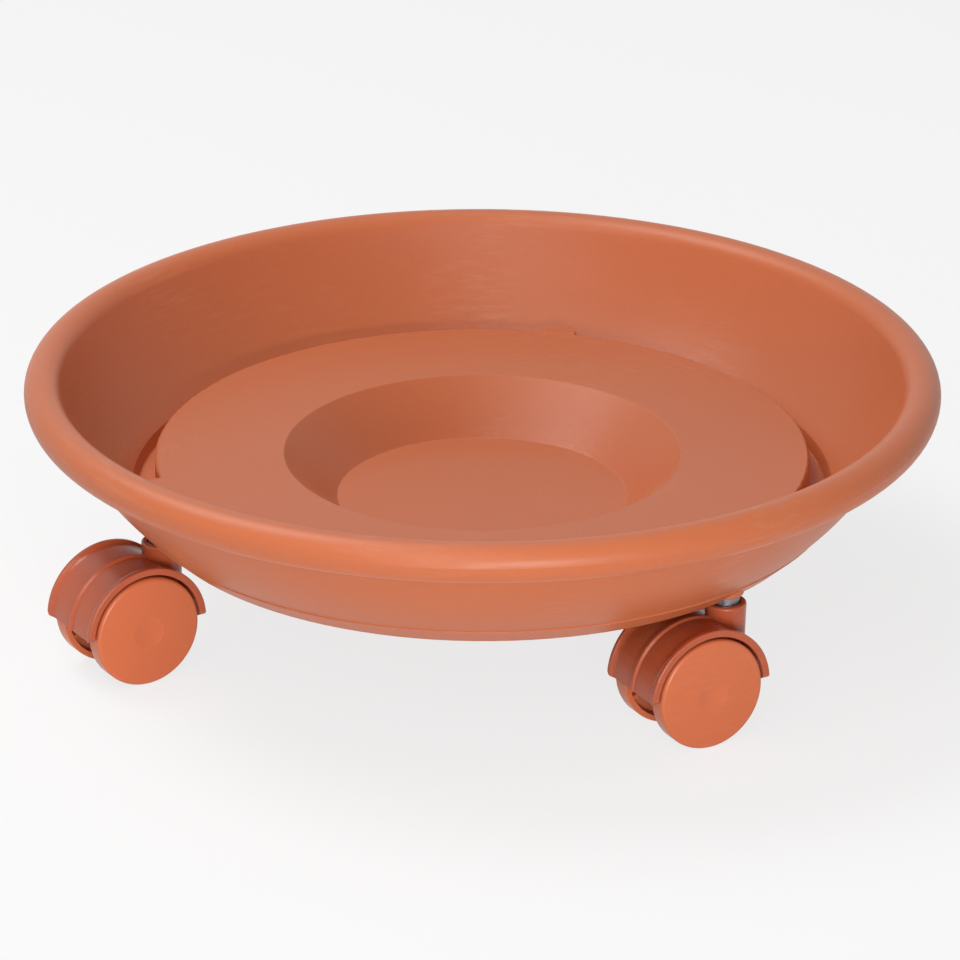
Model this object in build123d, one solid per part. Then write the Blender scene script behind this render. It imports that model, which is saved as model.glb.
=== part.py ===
from build123d import *
import math
import os

# Plant caddy: a round moulded saucer on three swivelling twin-wheel casters.
# Millimetres. The origin is on the floor under the saucer's centre, +Z is up and -Y is the front.
# The sizes come first. Everything below them is worked out from them.

# Saucer, in plan
rim_diameter = 322.0          # over the rolled rim
wall_reach = 37.4             # from the rim's outside in to where the wall breaks into the moat
moat_width = 8.0
foot_setback = 5.3            # foot ring's outside, inside the wall's break
socket_offset = 0.9           # socket's centre, outside the raised floor's edge
well_top_radius = 70.2
well_bottom_radius = 51.4

# Saucer, heights measured from the top of the raised floor
well_depth = 17.0
moat_depth = 13.8
moat_edge_drop = 9.7
bead_rise = 25.8              # centre of the rim's bead
rib_drop = 12.0               # lower edge of the stiffening ribs under the floor

# Saucer, skins and rounding
bead_radius = 6.5
bead_skin = 3.0
lip_radius = 8.0              # radius of the rim's outer lip below the bead's centre
lip_angle = 55.0              # how far round the lip turns under
bead_hollow_turn = 200.0      # how far round the bead's hollow goes, from its outer side over the top
wall_skin = 3.6
wall_lean = 20.0              # lean of the wall from upright where it leaves the bead
moat_side_lean = 20.0
floor_skin = 2.8
foot_ring_width = 2.6
foot_band_rise = 6.6          # height of the slightly proud band above the foot
foot_band_step = 0.35
edge_round = 0.9
rib_thickness = 2.2
rib_count = 12
ring_rib_inset = 22.6         # ring rib, inside the raised floor's edge

# Caster sockets of the saucer
caster_count = 3
first_caster_angle = -30.0
socket_diameter = 8.0
socket_wall = 2.2
socket_roof = 2.8
socket_edge_round = 0.9
foot_to_socket_mouth = 1.4    # the socket's mouth stands this far above the foot

# Caster, all sizes
wheel_diameter = 40.0
wheel_width = 7.2
wheel_tread_skin = 2.0
wheel_disc_skin = 2.0
wheel_edge_round = 1.3
wheel_dimple_radius = 6.0
wheel_dimple_depth = 0.7
wheel_crown_height = 0.4
wheel_spokes = 6
wheel_spoke_thickness = 1.3
wheel_spoke_height = 3.0
hub_radius = 5.0
caster_width = 32.4           # over both wheel faces
hood_setback = 0.9            # bead of the hood behind the wheel's face
hood_gap = 0.9                # between the tread and the inside of the hood
hood_skin = 1.5
hood_bead_width = 1.5
hood_bead_height = 1.1
hood_flare_width = 2.6
hood_ridge_width = 1.2
hood_ridge_height = 0.7
hood_skirt_gap = 0.3          # the hood ends this far above the axle's centre
hood_corner_round = 3.0
hood_edge_round = 0.45
web_thickness = 8.0
axle_boss_radius = 6.5
trail_length = 14.5           # axle behind the swivel axis
collar_rise = 26.0            # top of the collar above the axle
collar_diameter = 14.4
collar_taper = 1.5
collar_foot_rise = 3.0        # bottom of the collar above the axle
collar_edge_round = 0.9
cup_diameter = 10.6
cup_depth = 1.6
collar_to_foot = 1.3          # saucer's foot above the collar's top
clip_bay_diameter = 10.4
clip_bay_depth = 5.2
caster_headings = {"front_right": -136.0, "front_left": -133.5, "rear": -135.0}

# Axle pin
axle_diameter = 5.0
axle_groove_depth = 0.45
axle_groove_width = 1.2
axle_chamfer = 0.6
hub_floor = 2.6               # hub left solid outside the axle's blind bore

# Stem, grip ring and clip
stem_upper_diameter = 7.4
stem_lower_diameter = 7.0
flange_diameter = 9.6
grip_groove_depth = 0.7
grip_ring_height = 4.6
grip_ring_slot = 1.0
grip_ring_rise = 6.0          # bottom of the grip ring above the socket's mouth
clip_groove_depth = 0.6
clip_thickness = 0.9
clip_outer_diameter = 9.4
clip_opening = 3.4
stem_end_chamfer = 0.6

# Clearances
running_gap = 0.06            # pin in a turning bore, on the radius
thrust_gap = 0.1              # between faces that turn on each other
seat_gap = 0.02               # ring or pin seated in its own body
end_gap = 0.3                 # beyond the end of a pin
snap_gap = 0.15               # around the snap bead in the axle's groove
hub_side_gap = 0.3

# Heights above the floor and other sizes that follow
socket_radius = socket_diameter / 2
boss_radius = socket_radius + socket_wall
wheel_radius = wheel_diameter / 2
axle_height = wheel_radius
collar_top = axle_height + collar_rise
foot_height = collar_top + collar_to_foot
socket_mouth = foot_height + foot_to_socket_mouth
floor_top = foot_height + well_depth + floor_skin
rim_radius = rim_diameter / 2
moat_edge_radius = rim_radius - wall_reach
floor_radius = moat_edge_radius - moat_width
foot_radius = moat_edge_radius - foot_setback
socket_circle_radius = floor_radius + socket_offset
bead_centre = (rim_radius - bead_radius, floor_top + bead_rise)
moat_floor = floor_top - moat_depth
moat_edge = (moat_edge_radius, floor_top - moat_edge_drop)
ring_rib_radius = floor_radius - ring_rib_inset
socket_top = floor_top - socket_roof
cup_floor = collar_top - cup_depth
half_width = caster_width / 2
wheel_inner_plane = half_width - wheel_width
hood_inner_radius = wheel_radius + hood_gap
hood_radius = hood_inner_radius + hood_skin
hood_half_width = half_width - hood_setback
stem_bottom = axle_height + collar_foot_rise + end_gap
clip_bay_top = axle_height + collar_foot_rise + clip_bay_depth
axle_end = half_width - hub_floor - end_gap
snap_plane = axle_end - 2 * axle_groove_width


def polar(centre, radius, degrees):
    """Point at an angle on a circle in the radius-height plane."""
    turn = math.radians(degrees)
    return (centre[0] + radius * math.cos(turn), centre[1] + radius * math.sin(turn))


def round_at(section, point, radius):
    """Round the corner of a flat section nearest to a point."""
    corner = section.vertices().sort_by_distance((point[0], point[1], 0))[0]
    return fillet(corner, radius)


def turned(section):
    """Turn a section drawn as radius against height about the vertical axis."""
    return revolve(Plane.XZ * section, axis=Axis.Z, revolution_arc=360)


def wall_arcs():
    """Radius and centre of the wall's inner arc, which leaves the bead at its lean and ends at the moat."""
    start = polar(bead_centre, bead_radius, 180 - wall_lean)
    normal = (-math.cos(math.radians(wall_lean)), math.sin(math.radians(wall_lean)))
    span = (moat_edge[0] - start[0], moat_edge[1] - start[1])
    along = span[0] * normal[0] + span[1] * normal[1]
    radius = (span[0] ** 2 + span[1] ** 2) / (2 * along)
    centre = (start[0] + radius * normal[0], start[1] + radius * normal[1])
    return start, centre, radius


def on_arc(centre, radius, height):
    """Radius at a height on the wall's arc."""
    return centre[0] + math.sqrt(radius ** 2 - (height - centre[1]) ** 2)


def under_well(height):
    """Radius of the well wall's underside at a height."""
    slope = math.atan2(well_depth, well_top_radius - well_bottom_radius)
    return well_top_radius + floor_skin / math.sin(slope) + (height - floor_top) / math.tan(slope)


def bead_section():
    """Rolled rim: a hollow bead whose outer side sweeps down into a lip."""
    inner = bead_radius - bead_skin
    turn = bead_hollow_turn
    lip_centre = (rim_radius - lip_radius, bead_centre[1])
    top = make_face(
        [
            CenterArc(bead_centre, bead_radius, 0, turn),
            Line(polar(bead_centre, bead_radius, turn), polar(bead_centre, inner, turn)),
            CenterArc(bead_centre, inner, 0, turn),
            Line(polar(bead_centre, inner, 0), polar(bead_centre, bead_radius, 0)),
        ]
    )
    lip_inner = lip_radius - bead_skin
    lip = make_face(
        [
            CenterArc(lip_centre, lip_radius, -lip_angle, lip_angle),
            Line(polar(lip_centre, lip_inner, 0), polar(lip_centre, lip_radius, 0)),
            CenterArc(lip_centre, lip_inner, -lip_angle, lip_angle),
            Line(polar(lip_centre, lip_radius, -lip_angle), polar(lip_centre, lip_inner, -lip_angle)),
        ]
    )
    rim = top + lip
    rim = round_at(rim, polar(lip_centre, lip_inner, -lip_angle), edge_round)
    return round_at(rim, polar(lip_centre, lip_radius, -lip_angle), edge_round / 2)


def dish_section():
    """Wall, foot ring, moat, raised floor and well, as one closed outline."""
    start, centre, inner = wall_arcs()
    outer = inner + wall_skin
    band_top = foot_height + foot_band_rise
    band_radius = on_arc(centre, outer, band_top)
    wall_top = bead_centre[1] + bead_radius / 2
    side = math.tan(math.radians(moat_side_lean)) * (moat_edge[1] - moat_floor)
    wall_in = Edge.make_three_point_arc(
        Vector(*moat_edge),
        Vector(on_arc(centre, inner, (moat_edge[1] + start[1]) / 2), (moat_edge[1] + start[1]) / 2),
        Vector(*start),
    )
    wall_out = Edge.make_three_point_arc(
        Vector(on_arc(centre, outer, wall_top), wall_top),
        Vector(on_arc(centre, outer, (wall_top + band_top) / 2), (wall_top + band_top) / 2),
        Vector(band_radius, band_top),
    )
    under_moat = moat_floor - floor_skin
    foot_inner = foot_radius - foot_ring_width
    band_edge = (band_radius + foot_band_step / 2, band_top - foot_band_step)
    below = [
        (band_radius, band_top),
        band_edge,
        (foot_radius, foot_height),
        (foot_inner, foot_height),
        (foot_inner, under_moat),
        (floor_radius - floor_skin, under_moat),
        (floor_radius - floor_skin, floor_top - floor_skin),
        (under_well(floor_top - floor_skin), floor_top - floor_skin),
        (under_well(foot_height), foot_height),
        (0, foot_height),
        (0, floor_top - well_depth),
        (well_bottom_radius, floor_top - well_depth),
        (well_top_radius, floor_top),
        (floor_radius, floor_top),
        (floor_radius, moat_floor),
        (moat_edge_radius - side, moat_floor),
        moat_edge,
    ]
    lines = [Line(a, b) for a, b in zip(below, below[1:])]
    bridge = Line(start, (on_arc(centre, outer, wall_top), wall_top))
    dish = make_face([wall_in, bridge, wall_out] + lines)
    dish = round_at(dish, (well_bottom_radius, floor_top - well_depth), edge_round)
    dish = round_at(dish, (well_top_radius, floor_top), edge_round)
    dish = round_at(dish, (floor_radius, floor_top), edge_round)
    dish = round_at(dish, (moat_edge_radius - side, moat_floor), edge_round)
    dish = round_at(dish, moat_edge, edge_round)
    return round_at(dish, (foot_radius, foot_height), edge_round / 2)


def stiffening_ribs():
    """Radial ribs and one ring rib under the raised floor, between the well and the moat."""
    top = floor_top - floor_skin / 2
    low = floor_top - rib_drop
    reach = floor_radius - floor_skin / 2
    bite = floor_skin / 2
    outline = [(under_well(low) - bite, low), (reach, low), (reach, top), (under_well(top) - bite, top)]
    face = make_face(Polyline(*outline, close=True))
    rib = extrude(Plane.XZ * face, rib_thickness / 2, both=True)
    ribs = [Rot(0, 0, 360 / rib_count * i) * rib for i in range(rib_count)]
    ring = Circle(ring_rib_radius + rib_thickness / 2) - Circle(ring_rib_radius - rib_thickness / 2)
    return ribs + [extrude(Pos(0, 0, low) * ring, top - low)]


def socket_boss():
    """Solid round boss of one caster socket, standing through the moat, flush with the raised floor."""
    height = floor_top - socket_mouth
    boss = Pos(socket_circle_radius, 0, socket_mouth + height / 2) * Cylinder(boss_radius, height)
    rims = boss.edges().filter_by(GeomType.CIRCLE).sort_by(Axis.Z)
    return fillet([rims[0], rims[-1]], socket_edge_round)


def caster_angles():
    """Angle of each caster about the saucer's axis, by name."""
    names = ["front_right", "rear", "front_left"]
    return {name: first_caster_angle + 360 / caster_count * i for i, name in enumerate(names)}


def make_saucer():
    """The moulded saucer with its sockets bored."""
    saucer = turned(bead_section() + dish_section())
    turns = [Rot(0, 0, angle) for angle in caster_angles().values()]
    depth = socket_top - socket_mouth
    bore = Pos(socket_circle_radius, 0, socket_mouth + depth / 2) * Cylinder(socket_radius, depth)
    relief = socket_mouth - foot_height
    notch = Pos(socket_circle_radius, 0, foot_height + relief / 2) * Cylinder(boss_radius, relief)
    saucer = saucer.fuse(*stiffening_ribs(), *[turn * socket_boss() for turn in turns])
    for turn in turns:
        saucer = saucer - turn * bore - turn * notch
    return saucer


def turned_on_axle(section):
    """Turn a section about the axle. Its x runs along the axle and its y away from it."""
    plane = Plane(origin=(trail_length, 0, axle_height), x_dir=(0, 1, 0), z_dir=(1, 0, 0))
    return revolve(plane * section, axis=Axis((trail_length, 0, axle_height), (0, 1, 0)), revolution_arc=360)


def hood_section():
    """Section of the hood across its width: a ridge in the middle, and a flare and a bead at each side."""
    bead = hood_radius + hood_bead_height
    bead_start = hood_half_width - hood_bead_width
    flare_start = bead_start - hood_flare_width
    ridge = hood_radius + hood_ridge_height
    ridge_edge = hood_ridge_width / 2
    ridge_foot = ridge_edge + hood_ridge_height
    half = make_face(
        [
            Polyline((0, hood_inner_radius), (0, ridge), (ridge_edge, ridge), (ridge_foot, hood_radius)),
            Line((ridge_foot, hood_radius), (flare_start, hood_radius)),
            TangentArc((flare_start, hood_radius), (bead_start, bead), tangent=(1, 0)),
            Polyline((bead_start, bead), (hood_half_width, bead), (hood_half_width, hood_inner_radius)),
            Line((hood_half_width, hood_inner_radius), (0, hood_inner_radius)),
        ]
    )
    half = round_at(half, (hood_half_width, bead), hood_edge_round)
    half = round_at(half, (hood_half_width, hood_inner_radius), hood_edge_round)
    return half + mirror(half, about=Plane.YZ)


def hood_shell():
    """The arched shell over both wheels, in the caster's own frame with the axle along Y."""
    shell = turned_on_axle(hood_section())
    height = 2 * wheel_diameter
    low = axle_height + hood_skirt_gap
    shell = shell & (Pos(trail_length, 0, low + height / 2) * Box(2 * height, caster_width, height))
    for side in (1, -1):
        shell = shell - skirt_corner(side)
    return shell


def skirt_corner(side):
    """Cutter that rounds the hood's lower corners on one side, seen from the front."""
    size = hood_corner_round
    low = axle_height + hood_skirt_gap
    length = 2 * wheel_diameter
    block = Pos(trail_length, side * hood_half_width, low) * Box(length, 2 * size, 2 * size)
    rod = Rot(0, 90, 0) * Cylinder(size, length)
    core = Pos(trail_length, side * (hood_half_width - size), low + size) * rod
    return block - core


def hood_core():
    """Middle web, axle boss and stem collar, still solid."""
    radius = hood_inner_radius + hood_skin / 2
    disc = Pos(trail_length, 0, axle_height) * Rot(90, 0, 0) * Cylinder(radius, web_thickness)
    cut = axle_height + hood_skirt_gap
    upper = Pos(trail_length, 0, cut + radius) * Box(2 * radius, web_thickness, 2 * radius)
    boss = Pos(trail_length, 0, axle_height) * Rot(90, 0, 0) * Cylinder(axle_boss_radius, web_thickness)
    low = axle_height + collar_foot_rise
    height = collar_top - low
    top_radius = collar_diameter / 2
    low_radius = top_radius - height * math.tan(math.radians(collar_taper))
    collar = Pos(0, 0, low + height / 2) * Cone(low_radius, top_radius, height)
    collar = fillet(collar.edges().filter_by(GeomType.CIRCLE).sort_by(Axis.Z)[-1], collar_edge_round)
    return [disc & upper, boss, collar]


def make_hood():
    """Hood with its collar, cup, stem bore, clip bay and axle bore."""
    hood = hood_shell().fuse(*hood_core())
    cup = Pos(0, 0, collar_top - cup_depth / 2) * Cylinder(cup_diameter / 2, cup_depth)
    bore_radius = stem_lower_diameter / 2 + running_gap
    bore_height = collar_top - axle_height
    bore = Pos(0, 0, axle_height + bore_height / 2) * Cylinder(bore_radius, bore_height)
    bay_height = clip_bay_top - axle_height
    bay = Pos(0, 0, axle_height + bay_height / 2) * Cylinder(clip_bay_diameter / 2, bay_height)
    pin = Rot(90, 0, 0) * Cylinder(axle_diameter / 2 + seat_gap, caster_width)
    axle = Pos(trail_length, 0, axle_height) * pin
    return hood - cup - bore - bay - axle


def make_wheel(side):
    """One wheel: a smooth disc, a narrow tread, a hub with a blind snap bore and spokes on the inner side."""
    face = half_width
    rim = wheel_radius
    inside = rim - wheel_tread_skin
    rim_plane = face - wheel_crown_height
    back = rim_plane - wheel_disc_skin
    hub_end = web_thickness / 2 + hub_side_gap
    bore = axle_diameter / 2 + running_gap
    bore_end = face - hub_floor
    snap = axle_diameter / 2 - axle_groove_depth + snap_gap
    half_snap = axle_groove_width / 2 - snap_gap
    section = make_face(
        [
            Polyline(
                (hub_end, bore),
                (snap_plane - half_snap - snap_gap, bore),
                (snap_plane - half_snap, snap),
                (snap_plane + half_snap, snap),
                (snap_plane + half_snap + snap_gap, bore),
                (bore_end, bore),
                (bore_end, 0),
                (face - wheel_dimple_depth, 0),
            ),
            TangentArc((face - wheel_dimple_depth, 0), (face, wheel_dimple_radius), tangent=(0, 1)),
            TangentArc((face, wheel_dimple_radius), (rim_plane, rim), tangent=(0, 1)),
            Polyline(
                (rim_plane, rim),
                (wheel_inner_plane, rim),
                (wheel_inner_plane, inside),
                (back, inside),
                (back, hub_radius),
                (hub_end, hub_radius),
                (hub_end, bore),
            ),
        ]
    )
    section = round_at(section, (rim_plane, rim), wheel_edge_round)
    section = round_at(section, (wheel_inner_plane, rim), edge_round / 2)
    section = round_at(section, (back, inside), edge_round / 2)
    wheel = turned_on_axle(section)
    span = inside - hub_radius + wheel_tread_skin
    middle = (inside + hub_radius) / 2
    depth = wheel_spoke_height + wheel_disc_skin / 2
    spoke = Pos(0, back - wheel_spoke_height + depth / 2, middle) * Box(wheel_spoke_thickness, depth, span)
    place = Pos(trail_length, 0, axle_height)
    wheel = wheel.fuse(*[place * Rot(0, 360 / wheel_spokes * i, 0) * spoke for i in range(wheel_spokes)])
    if side < 0:
        wheel = mirror(wheel, about=Plane.XZ)
    return wheel


def make_axle():
    """Steel pin through the web, with a snap groove near each end."""
    radius = axle_diameter / 2
    pin = Pos(trail_length, 0, axle_height) * Rot(90, 0, 0) * Cylinder(radius, 2 * axle_end)
    pin = chamfer(pin.edges().filter_by(GeomType.CIRCLE), axle_chamfer)
    ring = Circle(radius * 2) - Circle(radius - axle_groove_depth)
    groove = extrude(ring, axle_groove_width / 2, both=True)
    for side in (1, -1):
        pin = pin - Pos(trail_length, side * snap_plane, axle_height) * Rot(90, 0, 0) * groove
    return pin


def make_stem():
    """Steel stem: upper pin with the grip ring's groove, flange and lower pin with the clip's groove."""
    upper = stem_upper_diameter / 2
    lower = stem_lower_diameter / 2
    grip = upper - grip_groove_depth
    clip = lower - clip_groove_depth
    low = stem_bottom
    clip_low = clip_bay_top - end_gap - clip_thickness - seat_gap
    clip_high = clip_bay_top - end_gap + seat_gap
    grip_low = socket_mouth + grip_ring_rise - seat_gap
    grip_high = grip_low + grip_ring_height + 2 * seat_gap
    top = socket_top - end_gap
    points = [
        (0, low),
        (lower - stem_end_chamfer, low),
        (lower, low + stem_end_chamfer),
        (lower, clip_low),
        (clip, clip_low),
        (clip, clip_high),
        (lower, clip_high),
        (lower, cup_floor + thrust_gap),
        (flange_diameter / 2, cup_floor + thrust_gap),
        (flange_diameter / 2, socket_mouth),
        (upper, socket_mouth),
        (upper, grip_low),
        (grip, grip_low),
        (grip, grip_high),
        (upper, grip_high),
        (upper, top - stem_end_chamfer),
        (upper - stem_end_chamfer, top),
        (0, top),
        (0, low),
    ]
    return turned(make_face(Polyline(*points)))


def open_ring(inner, outer, height, opening, low):
    """A ring with one radial opening, standing on a height."""
    ring = extrude(Circle(outer) - Circle(inner), height)
    gap = Pos(outer, 0, height / 2) * Box(2 * outer, opening, 2 * height)
    return Pos(0, 0, low) * (ring - gap)


def make_grip_ring():
    """Split spring ring that grips the wall of the saucer's socket."""
    inner = stem_upper_diameter / 2 - grip_groove_depth + seat_gap
    outer = socket_radius - seat_gap
    return open_ring(inner, outer, grip_ring_height, grip_ring_slot, socket_mouth + grip_ring_rise)


def make_stem_clip():
    """Open ring in the stem's lower groove, which keeps the hood on the stem."""
    inner = stem_lower_diameter / 2 - clip_groove_depth + seat_gap
    low = clip_bay_top - end_gap - clip_thickness
    return open_ring(inner, clip_outer_diameter / 2, clip_thickness, clip_opening, low)


def caster_pieces():
    """Every piece of one caster in its own frame: swivel axis on Z, wheels trailing along +X."""
    return {
        "stem": make_stem(),
        "grip_ring": make_grip_ring(),
        "stem_clip": make_stem_clip(),
        "hood": make_hood(),
        "axle": make_axle(),
        "outer_wheel": make_wheel(1),
        "inner_wheel": make_wheel(-1),
    }


def main():
    """Build every piece and write one file for each node."""
    os.makedirs("parts", exist_ok=True)
    export_step(make_saucer(), "parts/saucer.step")
    pieces = caster_pieces()
    for name, angle in caster_angles().items():
        turn = math.radians(angle)
        x = socket_circle_radius * math.cos(turn)
        y = socket_circle_radius * math.sin(turn)
        place = Pos(x, y, 0) * Rot(0, 0, caster_headings[name])
        for piece, solid in pieces.items():
            export_step(place * solid, f"parts/{name}_{piece}.step")


main()
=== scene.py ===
"""Plant caddy, dressed: moulded terracotta plastic, plated steel, a pale floor, soft lamps and the camera."""
import logging
import math
from dataclasses import dataclass, field
from enum import Enum
from typing import Dict, List, Sequence, Tuple

import bpy
from mathutils import Matrix, Vector


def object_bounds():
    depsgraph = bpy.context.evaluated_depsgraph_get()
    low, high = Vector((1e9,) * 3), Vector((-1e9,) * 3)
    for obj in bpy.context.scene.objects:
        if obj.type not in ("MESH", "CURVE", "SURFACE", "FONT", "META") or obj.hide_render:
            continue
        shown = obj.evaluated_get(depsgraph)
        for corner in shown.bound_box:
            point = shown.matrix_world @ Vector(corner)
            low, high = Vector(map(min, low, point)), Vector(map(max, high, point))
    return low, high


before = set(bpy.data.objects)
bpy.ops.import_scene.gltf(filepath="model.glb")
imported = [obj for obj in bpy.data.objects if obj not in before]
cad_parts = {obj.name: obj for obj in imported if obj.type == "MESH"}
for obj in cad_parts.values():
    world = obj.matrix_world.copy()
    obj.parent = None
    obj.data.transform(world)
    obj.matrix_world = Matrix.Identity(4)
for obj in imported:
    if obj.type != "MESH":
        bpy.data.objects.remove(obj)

CAD_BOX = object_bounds()
LOG = logging.getLogger("plant_caddy")
MM = 0.001
Colour = Tuple[float, float, float]

# The display curve that a written colour is turned back from.
FULL_CHANNEL = 255
TOE_END = 0.04045
TOE_SLOPE = 12.92
CURVE_OFFSET = 0.055
CURVE_POWER = 2.4

# The middle part of a noise, which holds most of its values.
NOISE_SPAN = (0.3, 0.7)


def linear(red: int, green: int, blue: int) -> Colour:
    """Turn a display colour into a scene-linear one.

    Args:
        red: Red from 0 to 255.
        green: Green from 0 to 255.
        blue: Blue from 0 to 255.

    Returns:
        The three linear values.
    """
    values = []
    for channel in (red, green, blue):
        share = channel / FULL_CHANNEL
        curved = ((share + CURVE_OFFSET) / (1 + CURVE_OFFSET)) ** CURVE_POWER
        values.append(share / TOE_SLOPE if share <= TOE_END else curved)
    return tuple(values)


def direction(azimuth: float, elevation: float) -> Vector:
    """Find a direction out from the caddy.

    Args:
        azimuth: Its turn from +X, in degrees.
        elevation: Its height, in degrees.

    Returns:
        The direction, one long.
    """
    turn = math.radians(azimuth)
    rise = math.radians(elevation)
    return Vector((math.cos(rise) * math.cos(turn), math.cos(rise) * math.sin(turn), math.sin(rise)))


class Side(Enum):
    """The two wheels of a caster, by the words in their nodes' names."""

    OUTER = "outer_wheel"
    INNER = "inner_wheel"


class NodeSketch:
    """Short ways to place and join shader nodes in one tree."""

    def __init__(self, tree: bpy.types.NodeTree) -> None:
        """Keep the tree that the nodes go into."""
        self.tree = tree

    def add(self, kind: str, **settings: object) -> bpy.types.Node:
        """Add one node.

        Args:
            kind: The node's Blender type, such as ShaderNodeMath.
            **settings: Properties of the node to set.

        Returns:
            The new node.
        """
        node = self.tree.nodes.new(kind)
        for name, value in settings.items():
            setattr(node, name, value)
        return node

    def join(self, source: bpy.types.NodeSocket, target: bpy.types.NodeSocket) -> None:
        """Link one socket to another."""
        self.tree.links.new(source, target)

    def feed(self, socket: bpy.types.NodeSocket, value: object) -> None:
        """Link a socket into another, or set a plain value on it."""
        if isinstance(value, bpy.types.NodeSocket):
            self.join(value, socket)
        else:
            socket.default_value = value

    def math(self, operation: str, first: object, second: object = 0.0) -> bpy.types.NodeSocket:
        """Add a Math node.

        Args:
            operation: The Math node's operation.
            first: A socket or a number.
            second: A socket or a number.

        Returns:
            The node's output.
        """
        node = self.add("ShaderNodeMath", operation=operation)
        self.feed(node.inputs[0], first)
        self.feed(node.inputs[1], second)
        return node.outputs[0]

    def spread(
        self, value: object, low: object, high: object, new_low: object, new_high: object
    ) -> bpy.types.NodeSocket:
        """Map a value from one span to another and hold it there.

        Args:
            value: The value to map.
            low: Start of the span it comes from.
            high: End of the span it comes from.
            new_low: Start of the span it goes to.
            new_high: End of the span it goes to.

        Returns:
            The mapped value.
        """
        node = self.add("ShaderNodeMapRange", clamp=True)
        for index, item in enumerate((value, low, high, new_low, new_high)):
            self.feed(node.inputs[index], item)
        return node.outputs[0]

    def noise(
        self, where: object, scale: object, detail: float = 2.0, roughness: float = 0.5
    ) -> bpy.types.NodeSocket:
        """Add a noise texture.

        Args:
            where: The coordinates it is read at.
            scale: Cells for each metre.
            detail: Number of finer layers.
            roughness: Weight of the finer layers.

        Returns:
            The noise, about 0.5 in the middle.
        """
        node = self.add("ShaderNodeTexNoise")
        self.feed(node.inputs["Vector"], where)
        self.feed(node.inputs["Scale"], scale)
        node.inputs["Detail"].default_value = detail
        node.inputs["Roughness"].default_value = roughness
        return node.outputs["Fac"]

    def around(self, noise: object, middle: float, swing: float) -> bpy.types.NodeSocket:
        """Swing a value about its middle as a noise does.

        Args:
            noise: The noise's output.
            middle: The value's middle.
            swing: How far it goes to either side.

        Returns:
            The swinging value.
        """
        return self.spread(noise, *NOISE_SPAN, middle - swing, middle + swing)

    def mix(self, share: object, first: object, second: object) -> bpy.types.NodeSocket:
        """Mix two colours.

        Args:
            share: How much of the second colour there is.
            first: A colour or a socket.
            second: A colour or a socket.

        Returns:
            The mixed colour.
        """
        node = self.add("ShaderNodeMix", data_type="RGBA")
        for name, value in (("Factor", share), ("A", first), ("B", second)):
            self.feed(node.inputs[name], value)
        return node.outputs["Result"]

    def bump(self, height: object, depth: float) -> bpy.types.NodeSocket:
        """Turn a height into a surface normal.

        Args:
            height: The height, about one between its ends.
            depth: What one of it is, in metres.

        Returns:
            The normal.
        """
        node = self.add("ShaderNodeBump")
        node.inputs["Strength"].default_value = 1.0
        node.inputs["Distance"].default_value = depth
        self.join(height, node.inputs["Height"])
        return node.outputs["Normal"]

    def background_rays(self) -> bpy.types.NodeSocket:
        """Give one for the rays that show the background: camera, glossy and transmission rays."""
        path = self.add("ShaderNodeLightPath")
        seen = self.math("MAXIMUM", path.outputs["Is Camera Ray"], path.outputs["Is Glossy Ray"])
        return self.math("MAXIMUM", seen, path.outputs["Is Transmission Ray"])

    def place(self) -> bpy.types.NodeSocket:
        """Object coordinates, which are metres in the model's own frame."""
        return self.add("ShaderNodeTexCoord").outputs["Object"]


def new_material(name: str) -> Tuple[bpy.types.Material, NodeSketch, bpy.types.Node]:
    """Start a material.

    Args:
        name: The material's name.

    Returns:
        The material, a sketch of its nodes and its main shader.
    """
    material = bpy.data.materials.new(name)
    material.use_nodes = True
    return material, NodeSketch(material.node_tree), material.node_tree.nodes["Principled BSDF"]


class EffectGroup:
    """A shader node group with named inputs and outputs, built once and shared by the materials."""

    name = "effect"
    inputs: Sequence[Tuple[str, str, object]] = ()
    outputs: Sequence[Tuple[str, str]] = ()

    def tree(self) -> bpy.types.NodeTree:
        """Build the group on first use.

        Returns:
            The group's node tree.
        """
        made = bpy.data.node_groups.get(self.name)
        if made:
            return made
        made = bpy.data.node_groups.new(self.name, "ShaderNodeTree")
        for name, kind, value in self.inputs:
            socket = made.interface.new_socket(name=name, in_out="INPUT", socket_type=kind)
            socket.default_value = value
        for name, kind in self.outputs:
            made.interface.new_socket(name=name, in_out="OUTPUT", socket_type=kind)
        sketch = NodeSketch(made)
        self.fill(sketch, sketch.add("NodeGroupInput").outputs, sketch.add("NodeGroupOutput").inputs)
        return made

    def fill(self, sketch: NodeSketch, given: object, results: object) -> None:
        """Place the group's nodes between its inputs and outputs."""
        raise NotImplementedError

    def use(self, sketch: NodeSketch, **values: object) -> bpy.types.Node:
        """Place the group in a material.

        Args:
            sketch: The material's sketch.
            **values: Inputs by name, with underscores for spaces.

        Returns:
            The placed group node.
        """
        node = sketch.add("ShaderNodeGroup")
        node.node_tree = self.tree()
        for name, value in values.items():
            sketch.feed(node.inputs[name.replace("_", " ")], value)
        return node


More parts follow.
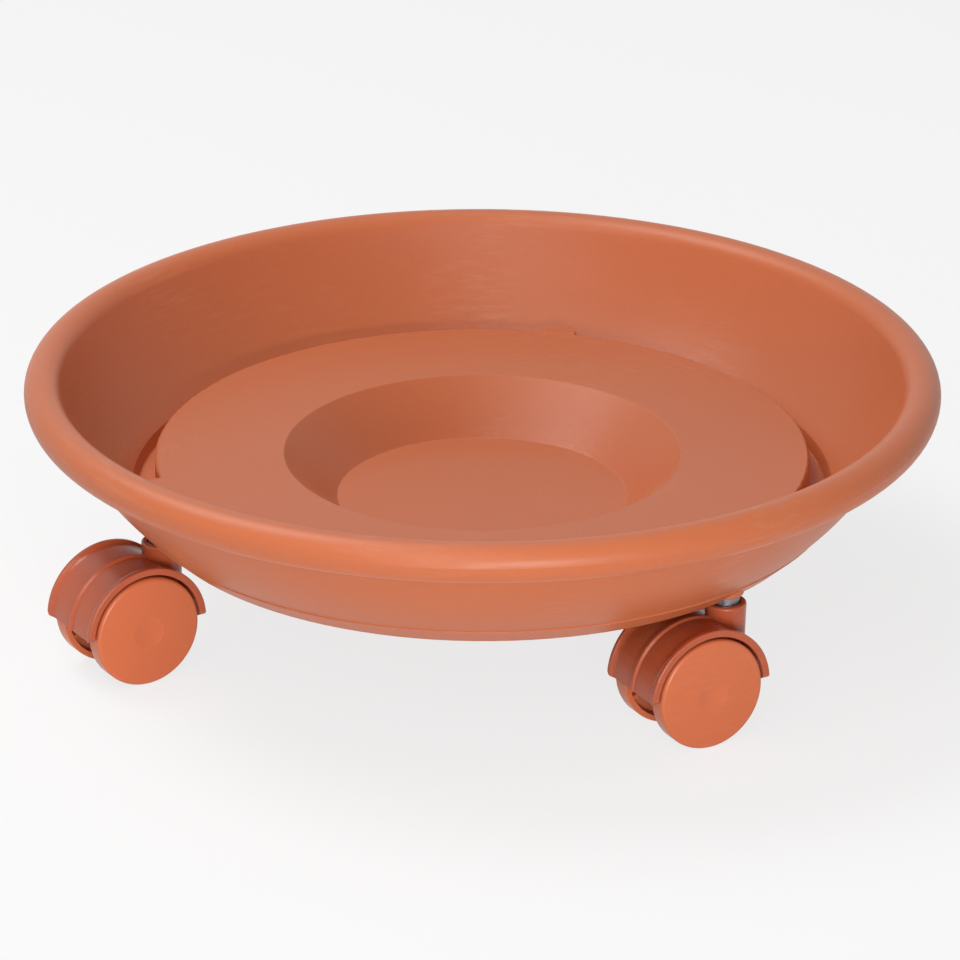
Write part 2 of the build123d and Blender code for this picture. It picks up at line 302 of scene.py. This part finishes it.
class MouldGrain(EffectGroup):
    """The fine pebbled skin that a sparked mould leaves, over a slow ripple of the plastic."""

    name = "Mould grain"
    inputs = (
        ("Grain per metre", "NodeSocketFloat", 1500.0),
        ("Pebbles per metre", "NodeSocketFloat", 420.0),
        ("Ripple per metre", "NodeSocketFloat", 26.0),
        ("Grain share", "NodeSocketFloat", 0.4),
        ("Ripple share", "NodeSocketFloat", 1.0),
    )
    outputs = (("Height", "NodeSocketFloat"), ("Grain", "NodeSocketFloat"))

    # Number of finer layers in each noise, and their weight.
    GRAIN_LAYERS = (2.0, 0.55)
    PEBBLE_LAYERS = (3.0, 0.6)
    RIPPLE_LAYERS = (1.0, 0.4)

    def fill(self, sketch: NodeSketch, given: object, results: object) -> None:
        """Sum a fine grain, coarser pebbles and a slow ripple into one height."""
        where = sketch.place()
        grain = sketch.noise(where, given["Grain per metre"], *self.GRAIN_LAYERS)
        pebbles = sketch.noise(where, given["Pebbles per metre"], *self.PEBBLE_LAYERS)
        ripple = sketch.noise(where, given["Ripple per metre"], *self.RIPPLE_LAYERS)
        fine = sketch.math("MULTIPLY", grain, given["Grain share"])
        slow = sketch.math("MULTIPLY", ripple, given["Ripple share"])
        total = sketch.math("ADD", sketch.math("ADD", fine, pebbles), slow)
        sketch.join(total, results["Height"])
        sketch.join(grain, results["Grain"])


class PigmentDrift(EffectGroup):
    """Slow and fine changes of colour in the dyed plastic."""

    name = "Pigment drift"
    inputs = (
        ("Colour", "NodeSocketColor", (0.5, 0.5, 0.5, 1.0)),
        ("Pale colour", "NodeSocketColor", (0.6, 0.6, 0.6, 1.0)),
        ("Clouds per metre", "NodeSocketFloat", 9.0),
        ("Specks per metre", "NodeSocketFloat", 700.0),
        ("Cloud share", "NodeSocketFloat", 0.3),
        ("Speck share", "NodeSocketFloat", 0.2),
    )
    outputs = (("Colour", "NodeSocketColor"),)

    CLOUD_LAYERS = (3.0, 0.55)
    SPECK_LAYERS = (1.0, 0.5)
    CLOUD_SPAN = (0.35, 0.65)
    SPECK_SPAN = (0.4, 0.7)

    def fill(self, sketch: NodeSketch, given: object, results: object) -> None:
        """Mix the two colours by large clouds and by fine specks."""
        where = sketch.place()
        clouds = sketch.noise(where, given["Clouds per metre"], *self.CLOUD_LAYERS)
        specks = sketch.noise(where, given["Specks per metre"], *self.SPECK_LAYERS)
        cloudy = sketch.spread(clouds, *self.CLOUD_SPAN, 0.0, 1.0)
        specked = sketch.spread(specks, *self.SPECK_SPAN, 0.0, 1.0)
        slow = sketch.math("MULTIPLY", cloudy, given["Cloud share"])
        fine = sketch.math("MULTIPLY", specked, given["Speck share"])
        share = sketch.math("ADD", slow, fine)
        sketch.join(sketch.mix(share, given["Colour"], given["Pale colour"]), results["Colour"])


class ScuffHighlightMask(EffectGroup):
    """Faint streaks round the caddy, gathered in patches, where pots and hands have polished it. The mask
    also carries a painted highlight: a pale tint laid on the streaks.
    """

    name = "Scuffs and painted highlight"
    inputs = (
        ("Patches per metre", "NodeSocketFloat", 14.0),
        ("Streaks per metre", "NodeSocketFloat", 620.0),
        ("Streak length share", "NodeSocketFloat", 0.02),
        ("Amount", "NodeSocketFloat", 0.5),
    )
    outputs = (("Mask", "NodeSocketFloat"),)

    STREAK_LAYERS = (4.0, 0.7)
    PATCH_SPAN = (0.52, 0.68)
    STREAK_SPAN = (0.48, 0.68)

    def fill(self, sketch: NodeSketch, given: object, results: object) -> None:
        """Keep the peaks of a noise drawn out round the axis, and only inside the patches of a slow one."""
        where = sketch.place()
        parts = sketch.add("ShaderNodeSeparateXYZ")
        sketch.join(where, parts.inputs[0])
        east, north, height = parts.outputs
        squares = sketch.math("ADD", sketch.math("POWER", east, 2.0), sketch.math("POWER", north, 2.0))
        reach = sketch.math("SQRT", squares)
        turn = sketch.math("MULTIPLY", sketch.math("ARCTAN2", north, east), given["Streak length share"])
        streaked = sketch.add("ShaderNodeCombineXYZ")
        for socket, value in zip(streaked.inputs, (turn, reach, height)):
            sketch.join(value, socket)
        slow = sketch.noise(where, given["Patches per metre"])
        fine = sketch.noise(streaked.outputs[0], given["Streaks per metre"], *self.STREAK_LAYERS)
        patches = sketch.spread(slow, *self.PATCH_SPAN, 0.0, 1.0)
        streaks = sketch.spread(fine, *self.STREAK_SPAN, 0.0, 1.0)
        both = sketch.math("MULTIPLY", patches, streaks)
        sketch.join(sketch.math("MULTIPLY", both, given["Amount"]), results["Mask"])


@dataclass(frozen=True)
class MouldedPlastic:
    """Injection-moulded terracotta plastic with a satin skin.

    Attributes:
        name: The material's name.
        colour: Linear colour of the plastic.
        pale: Linear colour that the pigment drifts towards.
        roughness: Roughness of clean plastic.
        grain_depth: Height of the mould's grain, in metres.
        scuffs_and_highlight: How strongly the polished streaks and their painted highlight show.
        sheen: The shader's specular level.
        grain_per_metre: How fine the grain is.
    """

    name: str
    colour: Colour
    pale: Colour
    roughness: float
    grain_depth: float
    scuffs_and_highlight: float
    sheen: float
    grain_per_metre: float = 1500.0

    # Pale colour of the painted highlight tinted onto the polished streaks.
    PAINTED_HIGHLIGHT_TINT = linear(226, 178, 156)
    ROUGHNESS_SWING = 0.02
    SCUFF_ROUGHNESS = -0.16
    PAINTED_HIGHLIGHT_SHARE = 0.22
    IOR = 1.49

    def build(self) -> bpy.types.Material:
        """Make the material.

        Returns:
            The finished material.
        """
        material, sketch, shader = new_material(self.name)
        shader.inputs["IOR"].default_value = self.IOR
        shader.inputs["Specular IOR Level"].default_value = self.sheen
        scuffs_and_highlight = ScuffHighlightMask().use(sketch, Amount=self.scuffs_and_highlight).outputs["Mask"]
        drift = PigmentDrift().use(sketch, Colour=(*self.colour, 1.0), Pale_colour=(*self.pale, 1.0))
        # A pale tint along the scuff mask is a painted highlight on the streaks; the lower roughness below is
        # the real polish of wear.
        painted_highlight = sketch.math("MULTIPLY", scuffs_and_highlight, self.PAINTED_HIGHLIGHT_SHARE)
        tint = sketch.mix(painted_highlight, drift.outputs["Colour"], (*self.PAINTED_HIGHLIGHT_TINT, 1.0))
        sketch.join(tint, shader.inputs["Base Color"])
        grain = MouldGrain().use(sketch, Grain_per_metre=self.grain_per_metre)
        rough = sketch.around(grain.outputs["Grain"], self.roughness, self.ROUGHNESS_SWING)
        worn = sketch.math("MULTIPLY", scuffs_and_highlight, self.SCUFF_ROUGHNESS)
        sketch.join(sketch.math("ADD", rough, worn), shader.inputs["Roughness"])
        sketch.join(sketch.bump(grain.outputs["Height"], self.grain_depth), shader.inputs["Normal"])
        return material


@dataclass(frozen=True)
class PlatedSteel:
    """Turned or pressed steel with a thin zinc plating.

    Attributes:
        name: The material's name.
        colour: Linear colour of the metal.
        roughness: Roughness of the bright metal.
        rings_per_metre: Turning marks along the pin, for each metre.
    """

    name: str
    colour: Colour
    roughness: float
    rings_per_metre: float

    RING_DEPTH = 0.004 * MM
    ROUGHNESS_SWING = 0.12
    DULL_SHARE = 0.8

    def build(self) -> bpy.types.Material:
        """Make the material.

        Returns:
            The finished material.
        """
        material, sketch, shader = new_material(self.name)
        shader.inputs["Metallic"].default_value = 1.0
        parts = sketch.add("ShaderNodeSeparateXYZ")
        sketch.join(sketch.place(), parts.inputs[0])
        turns = sketch.math("MULTIPLY", parts.outputs["Z"], self.rings_per_metre * math.tau)
        dull = tuple(value * self.DULL_SHARE for value in self.colour)
        drift = PigmentDrift().use(sketch, Colour=(*self.colour, 1.0), Pale_colour=(*dull, 1.0))
        sketch.join(drift.outputs["Colour"], shader.inputs["Base Color"])
        grain = MouldGrain().use(sketch)
        rough = sketch.around(grain.outputs["Grain"], self.roughness, self.ROUGHNESS_SWING)
        sketch.join(rough, shader.inputs["Roughness"])
        sketch.join(sketch.bump(sketch.math("SINE", turns), self.RING_DEPTH), shader.inputs["Normal"])
        return material


@dataclass(frozen=True)
class Finishes:
    """Every finish of the caddy, each made once."""

    saucer: MouldedPlastic = MouldedPlastic(
        "Saucer plastic", linear(191, 103, 64), linear(197, 109, 70), 0.4, 0.03 * MM, 0.42, 0.33
    )
    # The hood's colour is partly the plastic's own and partly painted shade: it is darkened towards the look
    # of a hood lying in the saucer's shadow.
    hood: MouldedPlastic = MouldedPlastic(
        "Hood plastic", linear(176, 82, 48), linear(182, 88, 54), 0.3, 0.004 * MM, 0.3, 0.48
    )
    wheel: MouldedPlastic = MouldedPlastic(
        "Wheel plastic", linear(204, 106, 65), linear(209, 112, 70), 0.32, 0.005 * MM, 0.25, 0.38
    )
    # The plated steel's colour is partly painted shade: it is darker than bright plating, for the dim look of
    # the stem in the shaded gap under its socket.
    steel: PlatedSteel = PlatedSteel("Plated steel", (0.27, 0.28, 0.31), 0.36, 2500.0)
    spring: PlatedSteel = PlatedSteel("Spring steel", (0.22, 0.22, 0.24), 0.4, 1600.0)


class Wardrobe:
    """Builds each finish on first use and puts it on the model's own pieces."""

    def __init__(self) -> None:
        """Start with nothing made."""
        self.made: Dict[str, bpy.types.Material] = {}

    def dress(self, node: str, finish: object) -> None:
        """Put a finish on a piece, in place of what it came with.

        Args:
            node: The piece's name.
            finish: The finish to put on it.
        """
        if finish.name not in self.made:
            self.made[finish.name] = finish.build()
        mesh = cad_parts[node].data
        mesh.materials.clear()
        mesh.materials.append(self.made[finish.name])
        LOG.info("%s wears %s", node, finish.name)


@dataclass
class Saucer:
    """The moulded saucer that carries the pot."""

    node: str = "saucer"

    def build(self, wardrobe: Wardrobe, finishes: Finishes) -> None:
        """Dress the saucer."""
        wardrobe.dress(self.node, finishes.saucer)


@dataclass
class Caster:
    """One swivelling twin-wheel caster.

    Attributes:
        name: Where it sits, such as front_left.
    """

    name: str

    def build(self, wardrobe: Wardrobe, finishes: Finishes) -> None:
        """Dress the caster's seven pieces."""
        wardrobe.dress(f"{self.name}_hood", finishes.hood)
        for side in Side:
            wardrobe.dress(f"{self.name}_{side.value}", finishes.wheel)
        for piece in ("axle", "stem"):
            wardrobe.dress(f"{self.name}_{piece}", finishes.steel)
        for piece in ("grip_ring", "stem_clip"):
            wardrobe.dress(f"{self.name}_{piece}", finishes.spring)


@dataclass
class PhotoCamera:
    """The camera, placed as the photograph's was.

    Attributes:
        centre: What it was worked out from: the middle of the raised floor.
        azimuth: Its direction round the caddy, in degrees from +X.
        elevation: Its height, in degrees.
        distance: Its distance from the centre.
        lens: Focal length, in millimetres.
        sensor: Width of the sensor, in millimetres.
        aim_right: How far right of the centre it points.
        aim_up: How far above the centre it points.
        roll: Its tilt about its own axis, in degrees.
        clip: The nearest and the furthest that it sees.
    """

    centre: Tuple[float, float, float] = (0.0, 0.0, 67.1 * MM)
    azimuth: float = -75.8
    elevation: float = 22.98
    distance: float = 2079.0 * MM
    lens: float = 220.5
    sensor: float = 36.0
    aim_right: float = -0.81 * MM
    aim_up: float = -10.64 * MM
    roll: float = 0.229
    clip: Tuple[float, float] = (0.05, 100.0)

    def build(self) -> bpy.types.Object:
        """Make the camera and use it.

        Returns:
            The camera.
        """
        outward = direction(self.azimuth, self.elevation)
        centre = Vector(self.centre)
        level = (-outward).cross(Vector((0, 0, 1))).normalized()
        upright = level.cross(-outward)
        tilt = math.radians(self.roll)
        right = level * math.cos(tilt) + upright * math.sin(tilt)
        up = upright * math.cos(tilt) - level * math.sin(tilt)
        place = centre + outward * self.distance
        back = (place - (centre + right * self.aim_right + up * self.aim_up)).normalized()
        right = up.cross(back).normalized()
        up = back.cross(right)
        data = bpy.data.cameras.new("photo_camera")
        data.sensor_width = self.sensor
        data.lens = self.lens
        data.clip_start, data.clip_end = self.clip
        camera = bpy.data.objects.new("photo_camera", data)
        bpy.context.scene.collection.objects.link(camera)
        camera.matrix_world = Matrix(
            (
                (right.x, up.x, back.x, place.x),
                (right.y, up.y, back.y, place.y),
                (right.z, up.z, back.z, place.z),
                (0, 0, 0, 1),
            )
        )
        bpy.context.scene.camera = camera
        return camera


@dataclass(frozen=True)
class SoftBox:
    """A square lamp that faces the caddy.

    Attributes:
        name: The lamp's name.
        azimuth: Its direction round the caddy, in degrees from +X.
        elevation: Its height, in degrees.
        distance: Its distance.
        size: Its side.
        power: Its power, in watts.
    """

    name: str
    azimuth: float
    elevation: float
    distance: float
    size: float
    power: float

    def build(self, target: Vector) -> None:
        """Make the lamp.

        Args:
            target: The point that it faces.
        """
        outward = direction(self.azimuth, self.elevation)
        data = bpy.data.lights.new(self.name, "AREA")
        data.shape = "SQUARE"
        data.size = self.size
        data.energy = self.power
        lamp = bpy.data.objects.new(self.name, data)
        bpy.context.scene.collection.objects.link(lamp)
        lamp.location = target + outward * self.distance
        lamp.rotation_mode = "QUATERNION"
        lamp.rotation_quaternion = outward.to_track_quat("Z", "Y")


@dataclass
class Studio:
    """Pale floor, white surroundings and soft lamps.

    Attributes:
        floor_size: Side of the floor.
        floor_colour: Linear grey of the floor's surface.
        floor_shadow: How much of the floor's own light shows, against plain white.
        surround: Brightness of the surroundings.
        lamps: The lamps.
    """

    floor_size: float = 12.0
    floor_colour: float = 0.82
    floor_shadow: float = 0.22
    surround: float = 0.12
    lamps: List[SoftBox] = field(
        default_factory=lambda: [
            SoftBox("key_lamp", -180.0, 62.0, 1.6, 0.9, 13.6),
            SoftBox("front_lamp", -88.0, 35.0, 1.6, 0.9, 6.8),
            SoftBox("low_lamp", -66.0, 4.0, 1.6, 0.5, 17.0),
            SoftBox("back_lamp", 135.0, 62.0, 1.6, 0.9, 3.0),
            SoftBox("top_lamp", -97.0, 63.0, 1.6, 0.35, 2.4),
        ]
    )

    def build_floor(self) -> None:
        """Make the floor, which shows the camera a nearly white surface with a soft shadow."""
        half = self.floor_size / 2
        corners = [(-half, -half, 0), (half, -half, 0), (half, half, 0), (-half, half, 0)]
        mesh = bpy.data.meshes.new("studio_floor")
        mesh.from_pydata(corners, [], [range(len(corners))])
        floor = bpy.data.objects.new("studio_floor", mesh)
        bpy.context.scene.collection.objects.link(floor)
        material = bpy.data.materials.new("Studio floor")
        material.use_nodes = True
        nodes = material.node_tree.nodes
        nodes.clear()
        sketch = NodeSketch(material.node_tree)
        surface = sketch.add("ShaderNodeBsdfDiffuse")
        surface.inputs["Color"].default_value = (self.floor_colour,) * 3 + (1.0,)
        white = sketch.add("ShaderNodeEmission")
        share = sketch.math("MULTIPLY", sketch.background_rays(), 1.0 - self.floor_shadow)
        mix = sketch.add("ShaderNodeMixShader")
        sketch.join(share, mix.inputs[0])
        sketch.join(surface.outputs[0], mix.inputs[1])
        sketch.join(white.outputs[0], mix.inputs[2])
        sketch.join(mix.outputs[0], sketch.add("ShaderNodeOutputMaterial").inputs["Surface"])
        mesh.materials.append(material)

    def build_surround(self) -> None:
        """Make the surroundings: white to the camera and in reflections, and dimmer as a light."""
        world = bpy.data.worlds.new("Studio")
        world.use_nodes = True
        world.node_tree.nodes.clear()
        sketch = NodeSketch(world.node_tree)
        light = sketch.add("ShaderNodeBackground")
        light.inputs["Strength"].default_value = self.surround
        white = sketch.add("ShaderNodeBackground")
        white.inputs["Color"].default_value = (1.0, 1.0, 1.0, 1.0)
        mix = sketch.add("ShaderNodeMixShader")
        sketch.join(sketch.background_rays(), mix.inputs[0])
        sketch.join(light.outputs[0], mix.inputs[1])
        sketch.join(white.outputs[0], mix.inputs[2])
        sketch.join(mix.outputs[0], sketch.add("ShaderNodeOutputWorld").inputs["Surface"])
        bpy.context.scene.world = world

    def build(self) -> None:
        """Make the floor, the surroundings and the lamps."""
        self.build_floor()
        self.build_surround()
        target = Vector((0, 0, (CAD_BOX[0].z + CAD_BOX[1].z) / 2))
        for lamp in self.lamps:
            lamp.build(target)
            LOG.info("%s in place", lamp.name)


def main() -> None:
    """Dress the caddy, then build the studio and the camera."""
    logging.basicConfig(level=logging.INFO, format="%(name)s: %(message)s")
    wardrobe = Wardrobe()
    finishes = Finishes()
    Saucer().build(wardrobe, finishes)
    for name in ("front_right", "front_left", "rear"):
        Caster(name).build(wardrobe, finishes)
    Studio().build()
    PhotoCamera().build()
    bpy.context.scene.view_settings.view_transform = "Standard"


if __name__ == "__main__":
    main()
